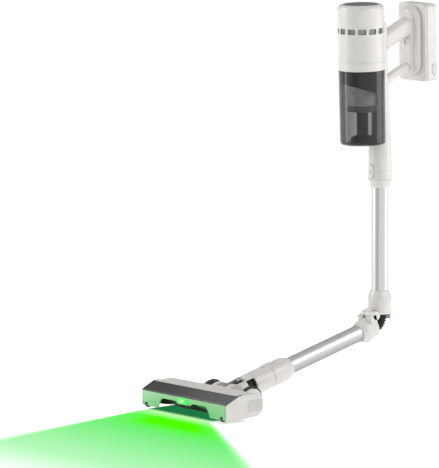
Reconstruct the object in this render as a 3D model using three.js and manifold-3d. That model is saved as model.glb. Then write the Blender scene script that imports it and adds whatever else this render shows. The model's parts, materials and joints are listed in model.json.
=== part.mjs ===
// Cordless stick vacuum, folded at the elbow of its wand, standing on its floor head.
// Millimetres. +Z is up, the head faces -Y, and +X is the left side of the vacuum.
// The origin is on the floor, under the middle of the whole vacuum.
import * as THREE from 'three';
import { mergeVertices } from 'three/addons/utils/BufferGeometryUtils.js';
import Module from 'manifold-3d';

const wasm = await Module();
wasm.setup();

// ---- driving dimensions ----
const GAP = 0.3;                      // left between pieces that touch
const TUBE_R = 17;                    // both wand tubes, outside
const TUBE_WALL = 1.2;
const COLLAR_R = 23.5;                // elbow collars and the lower wand collar
const NECK_R = 24;
const TILT = THREE.MathUtils.degToRad(15.3);     // lower tube above the floor
const LEAN = THREE.MathUtils.degToRad(1.4);      // handheld unit, forwards
const PITCH = { y: -397, z: 30.7 };   // pivot of the neck in the head
const SEAM_S = 109.5;                 // end of the neck, measured along the lower tube
const HEAD = { half: 132, front: -507, nose: 40.4, brow: -479, top: 54 };
const DRUM = { y: -434, z: 32, r: 23 };          // rounded rear of the head
const WHEEL = { x: 59, y: -384, r: 28, width: 10 };
const ORIGIN_Y = 197.5;               // the upper tube's axis, behind the origin; the other
                                      // dimensions in y are from that axis
const FOLD = { s: 392.5, y: -25, z: 158.4 };     // hinge line: along the wand, and behind it
const FOLD_OFFSET = 25;               // the same line, from both tube axes
const KNUCKLE_R = 9.2;
const LOWER_MOUTH = FOLD.s - 1;
const YOKE_END = 62;
const BRUSH = { y: -474, z: 29, r: 20, half: 112 };
const BRUSH_MOTOR = { y: -433, z: 33, r: 9.5 };
const ROLLER = { x: 118, y: -502, z: 8.4, r: 4.6 };
const BODY = { y: -49, z: 640, r: 46.5, top: 149, joint: 17, cupBottom: -133 };
const SOCKET = { bottom: 416, shoulder: 435, r: 24 };
const BATTERY = { half: 41, front: 134.5, back: 166.5, low: -17, high: 139 };

// ---- materials ----
const material = (color, roughness, metalness = 0) =>
  new THREE.MeshStandardMaterial({ color, roughness, metalness });
const WHITE = material(0xe9e6e0, 0.4);
const SILVER = material(0xc9cacb, 0.3, 1);
const SMOKE = material(0x4a4b4e, 0.1);
const BLACK = material(0x1d1d1f, 0.5);
const RUBBER = material(0x161617, 0.9);
const STEEL = material(0x9a9c9f, 0.35, 1);
const GREY = material(0x8d8f91, 0.5);
const GREEN = material(0x19e03a, 0.2);
const COPPER = material(0xb56a3a, 0.4, 1);
const FOAM = material(0xd8d9d6, 0.95);

// ---- solids and booleans ----
function toSolid(geometry) {
  const bare = geometry.clone();
  bare.deleteAttribute('normal');
  bare.deleteAttribute('uv');
  const merged = mergeVertices(bare, 1e-4);
  return new wasm.Manifold(new wasm.Mesh({
    numProp: 3,
    vertProperties: new Float32Array(merged.attributes.position.array),
    triVerts: new Uint32Array(merged.index.array),
  }));
}

// Slivers thinner than a hundredth of a millimetre are merged away.
function toGeometry(solid) {
  const mesh = solid.simplify(0.01).getMesh();
  const geometry = new THREE.BufferGeometry();
  geometry.setAttribute('position', new THREE.BufferAttribute(mesh.vertProperties, 3));
  geometry.setIndex(new THREE.BufferAttribute(mesh.triVerts, 1));
  return geometry;
}

const join = (...parts) => toGeometry(parts.map(toSolid).reduce((a, b) => a.add(b)));
const cut = (body, ...tools) =>
  toGeometry(tools.map(toSolid).reduce((a, b) => a.subtract(b), toSolid(body)));
const common = (a, b) => toGeometry(toSolid(a).intersect(toSolid(b)));

// ---- shapes ----
const box = (x0, x1, y0, y1, z0, z1) => new THREE.BoxGeometry(Math.abs(x1 - x0), y1 - y0, z1 - z0)
  .translate((x0 + x1) / 2, (y0 + y1) / 2, (z0 + z1) / 2);

// Profile points are [radius, height]; the result turns about +Z.
function turned(points, segments = 28) {
  const profile = points.map(([r, z]) => new THREE.Vector2(r, z));
  return new THREE.LatheGeometry(profile, segments).rotateX(Math.PI / 2);
}

const disc = (r, z0, z1, segments = 28) =>
  turned([[0, z0], [r, z0], [r, z1], [0, z1]], segments);
const ring = (inner, outer, z0, z1, segments = 28) =>
  turned([[inner, z0], [outer, z0], [outer, z1], [inner, z1], [inner, z0]], segments);

// The same turned shapes laid along X or along Y.
const alongX = (geometry) => geometry.rotateY(Math.PI / 2);
const alongY = (geometry) => geometry.rotateX(-Math.PI / 2);

// A closed outline in (y, z), extruded along X between x0 and x1.
function slab(outline, x0, x1) {
  const shape = outline instanceof THREE.Shape
    ? outline : new THREE.Shape(outline.map(([y, z]) => new THREE.Vector2(y, z)));
  const geometry = new THREE.ExtrudeGeometry(shape,
    { depth: x1 - x0, bevelEnabled: false, curveSegments: 10 });
  return geometry.applyMatrix4(new THREE.Matrix4().makeBasis(
    new THREE.Vector3(0, 1, 0), new THREE.Vector3(0, 0, 1), new THREE.Vector3(1, 0, 0)))
    .translate(x0, 0, 0);
}

// A rectangle with round corners in (x, z), extruded along Y between y0 and y1.
function plate(halfX, z0, z1, radius, y0, y1, steps = 4) {
  const corners = [[halfX - radius, z1 - radius], [radius - halfX, z1 - radius],
    [radius - halfX, z0 + radius], [halfX - radius, z0 + radius]];
  const points = corners.flatMap(([x, z], quarter) =>
    Array.from({ length: steps + 1 }, (_, i) => {
      const a = (quarter + i / steps) * (Math.PI / 2);
      return new THREE.Vector2(x + radius * Math.cos(a), z + radius * Math.sin(a));
    }));
  const shape = new THREE.Shape(points);
  const geometry = new THREE.ExtrudeGeometry(shape, { depth: y1 - y0, bevelEnabled: false });
  return geometry.rotateX(Math.PI / 2).translate(0, y1, 0);
}

// Rings of [x, y, z] points, all with the same count, skinned and capped at both ends.
function loft(rings) {
  const count = rings[0].length;
  const positions = rings.flat(2);
  const index = [];
  for (let i = 0; i + 1 < rings.length; i += 1) {
    for (let j = 0; j < count; j += 1) {
      const [a, b] = [i * count + j, i * count + ((j + 1) % count)];
      index.push(a, b, b + count, a, b + count, a + count);
    }
  }
  const last = (rings.length - 1) * count;
  for (let j = 1; j + 1 < count; j += 1) {
    index.push(0, j + 1, j, last, last + j, last + j + 1);
  }
  const geometry = new THREE.BufferGeometry();
  geometry.setAttribute('position', new THREE.Float32BufferAttribute(positions, 3));
  geometry.setIndex(index);
  return geometry;
}

// An oval ring about a point of the X = 0 plane, square to the direction (0, dy, dz).
function ovalRing([y, z], [dy, dz], halfX, halfUp, count) {
  const length = Math.hypot(dy, dz);
  return Array.from({ length: count }, (_, i) => {
    const a = (i / count) * 2 * Math.PI;
    const up = halfUp * Math.sin(a);
    return [-halfX * Math.cos(a), y - (up * dz) / length, z + (up * dy) / length];
  });
}

// An arm of oval section through stations of [y, z, halfX, halfUp].
function arm(stations, count = 20) {
  return loft(stations.map(([y, z, halfX, halfUp], i) => {
    const before = stations[Math.max(0, i - 1)];
    const after = stations[Math.min(stations.length - 1, i + 1)];
    return ovalRing([y, z], [after[0] - before[0], after[1] - before[1]], halfX, halfUp, count);
  }));
}

function add(parent, name, geometry, finish) {
  const mesh = new THREE.Mesh(geometry, finish);
  mesh.name = name;
  parent.add(mesh);
  return mesh;
}

// ---- floor head ----
const HEAD_PROFILE = [
  [HEAD.front, 8], [HEAD.front, HEAD.nose], [HEAD.brow, 53.8], [DRUM.y, DRUM.z + DRUM.r],
  ...Array.from({ length: 9 }, (_, i) => {
    const a = Math.PI / 2 - ((i + 1) / 10) * Math.PI;
    return [DRUM.y + DRUM.r * Math.cos(a), DRUM.z + DRUM.r * Math.sin(a)];
  }),
  [DRUM.y, DRUM.z - DRUM.r], [-470, 7],
];
const END_INNER = HEAD.half - 5;
const WALL = 3;

const wheelWell = (s) => alongX(disc(WHEEL.r + 0.8, -5.9, 5.9))
  .translate(s * WHEEL.x, WHEEL.y, WHEEL.r);

// The wide notch in the front wall, stepped down in the middle under the lamp.
const NOTCH = [[-86, 0], [-80, 14], [-72, 26], [-66, 28.5], [-26, 28.5], [-19, 23.5], [19, 23.5],
  [26, 28.5], [66, 28.5], [72, 26], [80, 14], [86, 0]];

function frontCutter(points, y0, y1) {
  const shape = new THREE.Shape(points.map(([x, z]) => new THREE.Vector2(x, z)));
  return new THREE.ExtrudeGeometry(shape, { depth: y1 - y0, bevelEnabled: false })
    .rotateX(Math.PI / 2).translate(0, y1, 0);
}

function buildShell(head) {
  const cavity = slab([[-503.5, 2], [-503.5, 37], [-480, 50.5], [DRUM.y, 51.5], [-421, 42],
    [-421, 22], [-430, 12.5], [-442.5, 12.5], [-442.5, 2]], WALL - END_INNER, END_INNER - WALL);
  const windowSeat = slab([[-508, 37], [-508, 41.4], [-479, 55], [-476, 50.5], [-480, 50]],
    -HEAD.half - 1, HEAD.half + 1);
  const rollerWell = (s) => box(s * ROLLER.x - 5, s * ROLLER.x + 5, -515, -496, 0, 15);
  const neckNotch = box(-27, 27, -424.5, -400, 5, 60);
  const throat = alongX(disc(26.5, -29, 29)).translate(0, PITCH.y, PITCH.z);
  add(head, 'head_shell', cut(slab(HEAD_PROFILE, GAP - END_INNER, END_INNER - GAP), cavity,
    windowSeat, frontCutter(NOTCH, -520, -495), plate(13.4, 25.4, 36.6, 5, -520, -495),
    rollerWell(1), rollerWell(-1), neckNotch, throat, wheelWell(1), wheelWell(-1)), WHITE);
  add(head, 'head_window', slab([[-507, 38.2], [-507, HEAD.nose], [HEAD.brow, 53.8],
    [-476.6, 51], [-480, 50.8]], GAP - HEAD.half, HEAD.half - GAP), SMOKE);
  [['left', 1], ['right', -1]].forEach(([side, s]) => {
    const cap = slab(HEAD_PROFILE, END_INNER, HEAD.half).translate(
      s > 0 ? 0 : -END_INNER - HEAD.half, 0, 0);
    const vents = [-12, -6, 0, 6, 12].map((y) => box(
      s * (HEAD.half - 2), s * (HEAD.half + 1), DRUM.y + y - 1, DRUM.y + y + 1,
      DRUM.z - 8, DRUM.z + 8));
    add(head, `end_cap_${side}`, cut(cap, windowSeat, ...vents), WHITE);
  });
  add(head, 'lamp_lens', plate(13, 25.8, 36.2, 4.8, -511.5, -500), GREEN);
  add(head, 'lamp_board', box(-18, 18, -499.6, -498.2, 24, 36), GREY);
  add(head, 'sole_wiper', box(-100, 100, -445.6, -442.9, 3, 12), RUBBER);
}

function buildBrushDrive(head) {
  const motor = BRUSH_MOTOR;
  const blade = (i) => box(-110, 110, -1.6, 1.6, 5, BRUSH.r)
    .rotateX((i * Math.PI) / 3).translate(0, BRUSH.y, BRUSH.z);
  const core = alongX(disc(10, -BRUSH.half, BRUSH.half, 20)).translate(0, BRUSH.y, BRUSH.z);
  add(head, 'brush_roll', join(core, ...[0, 1, 2, 3, 4, 5].map(blade)), BLACK);
  add(head, 'brush_pulley', alongX(ring(2.6, 8, 113, 119, 20)).translate(0, BRUSH.y, BRUSH.z),
    GREY);
  add(head, 'brush_bearing_left', alongX(disc(2.3, 112.4, 121.6, 12))
    .translate(0, BRUSH.y, BRUSH.z), STEEL);
  add(head, 'brush_bearing_right', alongX(disc(3, -121.6, -112.4, 12))
    .translate(0, BRUSH.y, BRUSH.z), STEEL);
  add(head, 'brush_motor', alongX(disc(motor.r, 56, 108, 20)).translate(0, motor.y, motor.z),
    STEEL);
  add(head, 'motor_pulley', alongX(join(disc(5, 113, 119, 16), disc(1.5, 108.4, 114, 8)))
    .translate(0, motor.y, motor.z), GREY);
  const span = Math.hypot(BRUSH.y - motor.y, BRUSH.z - motor.z);
  const tangent = Math.PI / 2 + Math.asin(3 / span);
  const loop = (extra, x0, x1) => {
    const shape = new THREE.Shape();
    shape.absarc(0, 0, 5 + extra, tangent, -tangent, false);
    shape.absarc(span, 0, 8 + extra, -tangent, tangent, false);
    return slab(shape, x0, x1).rotateX(
      Math.atan2(BRUSH.z - motor.z, BRUSH.y - motor.y)).translate(0, motor.y, motor.z);
  };
  add(head, 'drive_belt', cut(loop(1.8, 114, 118), loop(GAP, 110, 122)), RUBBER);
}

// Outline of the carriage's outer plate, in (y, z).
const CARRIAGE_SIDE = [[-405, 14], [-405, 43], [-398, 49.5], [-388, 52.5], [-378, 50.5], [-370, 44.5],
  [-364, 34], [-366, 22], [-374, 12], [-386, 8.5], [-398, 9]].reverse();

// Each carriage holds a rear wheel on a stub axle, and one end of the neck in a bearing.
function carriage(s) {
  const across = (x0, x1) => [Math.min(s * x0, s * x1), Math.max(s * x0, s * x1)];
  const round = (r, x0, x1, count) => alongX(disc(r, ...across(x0, x1), count))
    .translate(0, WHEEL.y, WHEEL.r);
  const bearing = box(...across(28, 36), -412, PITCH.y + 9, 14, 42);
  const drum = slab(HEAD_PROFILE.map(([y, z]) => [y + 0.4, z]), -150, 150);
  const throat = alongX(disc(26.5, -29, 29)).translate(0, PITCH.y, PITCH.z);
  const pinHole = alongX(disc(4.4, ...across(0, 36), 16)).translate(0, PITCH.y, PITCH.z);
  const frame = join(round(20.5, 47, 53.2, 32), slab(CARRIAGE_SIDE, ...across(65.3, 71)), bearing,
    box(...across(30, 70), -416, -400, 9, 36));
  return join(cut(frame, drum, throat, pinHole, wheelWell(s)), round(4, 47, 71, 12));
}

function buildCarriages(head) {
  const tread = WHEEL.width / 2;
  const wheel = turned([[4.4, -tread], [23, -tread], [WHEEL.r, 3 - tread],
    [WHEEL.r, tread - 3], [23, tread], [4.4, tread], [4.4, -tread]]);
  [['left', 1], ['right', -1]].forEach(([side, s]) => {
    add(head, `rear_carriage_${side}`, carriage(s), WHITE);
    add(head, `rear_wheel_${side}`, alongX(wheel.clone())
      .translate(s * WHEEL.x, WHEEL.y, WHEEL.r), RUBBER);
    add(head, `front_roller_${side}`, alongX(disc(ROLLER.r, -4, 4, 14))
      .translate(s * ROLLER.x, ROLLER.y, ROLLER.z), GREY);
  });
}

// ---- neck and lower wand; local +Y runs up along the lower tube ----
function buildNeck(wand) {
  const barrel = alongX(disc(25.5, -28, 28));
  const sleeve = alongY(disc(NECK_R, 0, YOKE_END));
  const pins = alongX(disc(4, -35, 35, 16));
  add(wand, 'neck_yoke', cut(join(barrel, sleeve, pins), alongY(disc(18.8, -8, YOKE_END + 1)),
    box(-15, 15, -8, 40, 6, 40), box(-40, 40, 41, YOKE_END + 1, -3, 17),
    box(-18, 18, -40, 0, -14, 16)), WHITE);
  add(wand, 'neck_hose', alongY(ring(15.5, 18, -4, YOKE_END - 1, 24)), BLACK);
  const tongue = common(alongY(ring(18.8, NECK_R, SEAM_S - 2, 127)), box(-9, 9, 100, 130, 10, 30));
  const sleeveTube = join(alongY(ring(18.8, NECK_R, YOKE_END + GAP, SEAM_S - GAP)), tongue);
  add(wand, 'neck_tube', cut(sleeveTube, box(-6.8, 6.8, 96.4, 123.6, 15, 30)), WHITE);
  add(wand, 'head_release_button', join(box(-6.2, 6.2, 97, 123, 20.8, 25.2),
    box(-3, 3, 101, 119, 25, 26.4)), WHITE);
}

function knuckles(ranges, radius, y, z) {
  return ranges.map(([x0, x1]) => alongX(disc(radius, x0, x1, 24)).translate(0, y, z));
}

function buildLowerWand(wand) {
  const collarLow = alongY(turned([[15.5, 84], [18.4, 84], [18.4, SEAM_S + 0.4],
    [NECK_R, SEAM_S + 0.4], [NECK_R, 150], [18.6, 164], [TUBE_R + GAP, 164],
    [TUBE_R + GAP, 130], [15.5, 130], [15.5, 84]]));
  const slot = common(alongY(ring(18.5, 30, SEAM_S, 127.3)), box(-9.3, 9.3, 100, 130, 10, 40));
  add(wand, 'lower_collar', cut(collarLow, slot), WHITE);
  add(wand, 'lower_tube', alongY(ring(TUBE_R - TUBE_WALL, TUBE_R, 130.4, 374.6, 36)), SILVER);
  const collar = alongY(turned([[TUBE_R + GAP, 353], [18.8, 353], [COLLAR_R, 363.5],
    [COLLAR_R, LOWER_MOUTH], [16.4, LOWER_MOUTH], [16.4, 375], [TUBE_R + GAP, 375],
    [TUBE_R + GAP, 353]]));
  const outer = knuckles([[-20.5, -8], [8, 20.5]], KNUCKLE_R, FOLD.s, FOLD_OFFSET);
  const webs = [-14.25, 14.25].map((x) => box(x - 6.25, x + 6.25, 376, FOLD.s - 1, 5, 28));
  const middle = knuckles([[-8.2, 8.2]], KNUCKLE_R + 0.8, FOLD.s, FOLD_OFFSET);
  const pinBore = knuckles([[-30, 30]], 2.8, FOLD.s, FOLD_OFFSET);
  const hoseBore = alongY(disc(16.4, 340, 400));
  const lipRoom = common(alongY(ring(20.6, 30, 377, 400)), box(-17.5, 17.5, 370, 410, -40, -8));
  add(wand, 'elbow_lower', cut(join(collar, ...outer, ...webs), hoseBore, ...middle, ...pinBore,
    lipRoom, box(-5.4, 5.4, 365.5, 376, -30, -17.5)), WHITE);
  add(wand, 'elbow_lock_button', box(-5, 5, 366, 375.5, -25.2, -19.4), GREY);
}

// The elbow hose bends round the hinge line, from one collar into the other.
class HoseArc extends THREE.Curve {
  getPoint(t) {
    const a = t * (Math.PI / 2 - TILT);
    return new THREE.Vector3(0, FOLD.y + FOLD_OFFSET * Math.cos(a),
      FOLD.z - FOLD_OFFSET * Math.sin(a));
  }
}

function buildUpperWand(wand) {
  const collar = turned([[16.4, FOLD.z + 1], [COLLAR_R, FOLD.z + 1], [COLLAR_R, 195],
    [18.6, 207], [TUBE_R + GAP, 207], [TUBE_R + GAP, 172], [16.4, 172], [16.4, FOLD.z + 1]]);
  const tab = common(ring(21, COLLAR_R, 147, FOLD.z + 2), box(-16, 16, 5, 30, 140, 170));
  const lug = knuckles([[-7.7, 7.7]], KNUCKLE_R, FOLD.y, FOLD.z);
  const web = box(-7.7, 7.7, FOLD.y - 6, -16.6, FOLD.z, 172);
  const clear = knuckles([[-26, -7.75], [7.75, 26]], KNUCKLE_R + 0.8, FOLD.y, FOLD.z);
  const pinBore = knuckles([[-30, 30]], 2.8, FOLD.y, FOLD.z);
  add(wand, 'elbow_upper', cut(join(collar, tab, ...lug, web), disc(16.4, 140, 180), ...clear,
    ...pinBore), WHITE);
  add(wand, 'hinge_pin', knuckles([[-19.5, 19.5]], 2.5, FOLD.y, FOLD.z)[0], STEEL);
  add(wand, 'upper_tube', ring(TUBE_R - TUBE_WALL, TUBE_R, 172.4, 455, 36), SILVER);
  const circle = new THREE.Shape();
  circle.absarc(0, 0, 15.6, 0, 2 * Math.PI, false);
  const hole = new THREE.Path();
  hole.absarc(0, 0, 13.6, 0, 2 * Math.PI, true);
  circle.holes.push(hole);
  add(wand, 'elbow_hose', new THREE.ExtrudeGeometry(circle,
    { steps: 8, curveSegments: 8, extrudePath: new HoseArc() }), BLACK);
}

// ---- handheld unit; the spine stands on the wand's axis, the rest leans forwards ----
function spineLoft(shrink, z0, z1) {
  const stations = [[SOCKET.shoulder - 2, 0, 24], [487, 0, 23], [560, -1.5, 20.5],
    [640, -3.8, 17.3], [700, -4, 17], [742, -5, 16.6], [752, -7, 13], [756, -9, 7]];
  const at = (z) => {
    const i = Math.min(stations.length - 2, stations.findIndex((s, k) => stations[k + 1]?.[0] >= z));
    const [a, b] = [stations[i], stations[i + 1]];
    const t = (z - a[0]) / (b[0] - a[0]);
    return [z, a[1] + t * (b[1] - a[1]), a[2] + t * (b[2] - a[2])];
  };
  const inside = stations.filter(([z]) => z > z0 && z < z1);
  return loft([at(z0), ...inside, at(z1)].map(([z, y, r]) => Array.from({ length: 28 }, (_, i) => {
    const a = (i / 28) * 2 * Math.PI;
    return [(r - shrink) * Math.cos(a), y + (r - shrink) * Math.sin(a), z];
  })));
}

const leaned = (geometry) => geometry.rotateX(LEAN).translate(0, BODY.y, BODY.z);

function buildSpine(unit) {
  const clearance = (more) => leaned(disc(BODY.r + more, BODY.cupBottom - more, 170, 44));
  const duct = cut(spineLoft(2.4, 470, 632), clearance(3));
  const inlet = leaned(box(-9, 9, 30, 62, -40, -16));
  const button = box(-6.8, 6.8, -30, -16, 434.5, 464);
  add(unit, 'spine_duct', cut(spineLoft(0, SOCKET.shoulder - 2, 756), clearance(0.5),
    duct, inlet, disc(TUBE_R + GAP, 400, 456.2), disc(15, 455, 472.5, 26), button), WHITE);
  add(unit, 'socket_nose', turned([[TUBE_R + GAP, 416], [18.8, 416], [SOCKET.r, 432.6],
    [TUBE_R + GAP, 432.6], [TUBE_R + GAP, 416]]), WHITE);
  add(unit, 'wand_release_button', common(box(-6.3, 6.3, -26, -19.4, 435.2, 463.2),
    join(disc(SOCKET.r + 0.8, 430, 470))), WHITE);
}

function buildHandle(unit) {
  const grip = arm([[-6, 703, 15, 17], [14, 713, 15.5, 18.5], [34, 723, 16, 18.5],
    [52, 731.5, 16, 19], [68, 736.5, 16, 20], [76, 738, 16, 20.5]]);
  const brace = arm([[2, 622, 8.5, 13], [14, 629, 8.5, 10.5], [30, 639, 8.5, 9], [48, 648, 8.5, 9],
    [66, 654, 9, 9.5], [80, 657, 9.5, 11]]);
  const bar = plate(16, -1, 131, 14, 118, 127).rotateX(LEAN).translate(0, BODY.y, BODY.z);
  const flange = plate(29, -6, 136, 27, 125, BATTERY.front - GAP)
    .rotateX(LEAN).translate(0, BODY.y, BODY.z);
  const room = spineLoft(-GAP, SOCKET.shoulder, 755);
  const triggerWell = box(-5.4, 5.4, 55, 69.4, 700, 722);
  add(unit, 'handle', cut(join(grip, brace, leaned(box(-15, 15, 118, 127, 20, 115)), bar, flange),
    room, leaned(disc(BODY.r + 1, -10, 170, 48)), triggerWell), WHITE);
  add(unit, 'power_trigger', slab([[56, 720], [68.8, 720], [68.8, 713], [64, 711], [58, 711.5]],
    -4.9, 4.9), GREY);
}

function buildMotorHousing(leaning) {
  const r = BODY.r;
  const slots = Array.from({ length: 13 }, (_, i) => box(-8.2, 8.2, -r - 5, -r + 6, 91.5, 102.5)
    .rotateZ((i * 2 * Math.PI) / 13 + 0.918));
  const shell = turned([[r - 2.4, BODY.joint], [r, BODY.joint], [r, 138], [r - 1, 142.5],
    [r - 4, 146.4], [r - 8, 148.4], [36.2, BODY.top], [36.2, 146], [33, 146], [33, 144.6],
    [r - 7, 143.5], [r - 2.4, 137], [r - 2.4, BODY.joint]], 36);
  add(leaning, 'motor_housing', cut(shell, ...slots), WHITE);
  add(leaning, 'display_lens', disc(35.8, 146.3, BODY.top, 36), BLACK);
  add(leaning, 'display_board', disc(32.4, 140, 141.6, 24), GREEN);
  add(leaning, 'exhaust_grille', ring(r - 4.6, r - 2.8, 89, 105, 36), GREY);
  add(leaning, 'exhaust_filter', ring(31, 40.5, 80, 114, 28), FOAM);
  add(leaning, 'fan_motor', cut(disc(22, 66, 112, 24), disc(3, 60, 70, 12)), STEEL);
  add(leaning, 'motor_seal', cut(disc(r - 2.8, 24, 28, 32), disc(27, 20, 30, 24)), RUBBER);
  const blade = (i) => box(4, 25, -0.8, 0.8, 46, 58).rotateZ((i * 2 * Math.PI) / 9);
  add(leaning, 'fan_impeller', join(disc(26, 43, 46.2, 28), disc(5, 43, 60, 12),
    disc(2.4, 59, 69.4, 12), ...Array.from({ length: 9 }, (_, i) => blade(i))), GREY);
}

function buildDustCup(leaning) {
  const [top, bottom] = [BODY.joint - GAP, BODY.cupBottom];
  add(leaning, 'dust_cup', turned([[0, bottom], [41, bottom], [44.6, bottom + 2],
    [45.6, bottom + 5], [BODY.r, top], [BODY.r - 2.2, top], [43.2, bottom + 6],
    [40, bottom + 2.6], [0, bottom + 2.6]], 36), SMOKE);
  const cover = turned([[28.2, -52], [BODY.r - 3.2, -52], [BODY.r - 2.6, 15.5], [28.2, 15.5],
    [28.2, -52]], 36);
  const slant = box(-80, 80, -80, 80, -100, 0).rotateX(-0.272).rotateY(0.115)
    .translate(0, 0, -21.7);
  add(leaning, 'cyclone_cover', cut(cover, slant), BLACK);
  add(leaning, 'cyclone_shroud', ring(25, 27.6, -54, 10, 28), SMOKE);
  add(leaning, 'cyclone_skirt', turned([[27.4, -66], [32.7, -66], [28.6, -54.4], [25, -54.4],
    [25, -57], [27.4, -66]], 28), BLACK);
  add(leaning, 'cyclone_cone', turned([[0, -129.6], [24, -129.6], [24, -119], [11.5, -115],
    [11.5, -70], [17, -30], [17, 4], [14.6, 4], [14.6, -30], [9, -70], [9, -127], [0, -127]],
  28), BLACK);
  add(leaning, 'pre_filter', ring(6, 24, 5, 14, 24), FOAM);
}

function buildBattery(leaning) {
  const { half, front, back, low, high } = BATTERY;
  const shell = plate(half, low, high, 9, front + 4.2, back);
  const rearEdge = plate(half + 5, low - 5, high + 5, 9, front, back + 5);
  const hollow = plate(half - 2.4, low + 2.4, high - 2.4, 7, front, back - 2.4);
  const port = (s) => box(s * half - 4, s * half + 4, 150.4, 163.6, -5, 18);
  add(leaning, 'battery_case', cut(common(shell, rearEdge), hollow, port(1), port(-1)), WHITE);
  add(leaning, 'battery_front', plate(half, low, high, 9, front, front + 3.9), WHITE);
  [['upper', 62], ['lower', -6]].forEach(([level, z]) => {
    const cells = [-27.9, -9.3, 9.3, 27.9].map((x) => disc(9.2, z, z + 65, 16)
      .translate(x, 149.4, 0));
    const strips = [z - 0.5, z + 64.5].map((h) => box(-34, 34, 146, 153, h, h + 1));
    add(leaning, `cell_row_${level}`, join(...cells, ...strips), COPPER);
  });
  add(leaning, 'battery_board', box(-35, 35, 160.6, 162.2, 24, 120), GREEN);
  [['left', 1], ['right', -1]].forEach(([side, s]) => {
    add(leaning, `battery_button_${side}`, plate(6.2, -4.6, 17.6, 6, 0, 2.8)
      .rotateZ(-s * (Math.PI / 2)).translate(s * (half - 1.8), 157, 0), GREY);
  });
}

// ---- the whole vacuum ----
const vacuum = new THREE.Group();
const assembly = new THREE.Group();
assembly.position.y = ORIGIN_Y;
vacuum.add(assembly);
buildShell(assembly);
buildBrushDrive(assembly);
buildCarriages(assembly);

const lowerWand = new THREE.Group();
lowerWand.position.set(0, PITCH.y, PITCH.z);
lowerWand.rotation.x = TILT;
assembly.add(lowerWand);
buildNeck(lowerWand);
buildLowerWand(lowerWand);
buildUpperWand(assembly);

buildSpine(assembly);
buildHandle(assembly);

const leaningUnit = new THREE.Group();
leaningUnit.position.set(0, BODY.y, BODY.z);
leaningUnit.rotation.x = LEAN;
assembly.add(leaningUnit);
buildMotorHousing(leaningUnit);
buildDustCup(leaningUnit);
buildBattery(leaningUnit);

export default vacuum;
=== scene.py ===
"""Looks of the cordless stick vacuum: fine meshes, procedural materials, light and camera.

Shapes are drawn in millimetres in one of three spaces (UNIT, WAND, LEANED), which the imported
record and the CAD boxes place, and are then set in the row frame in metres.
"""

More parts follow.
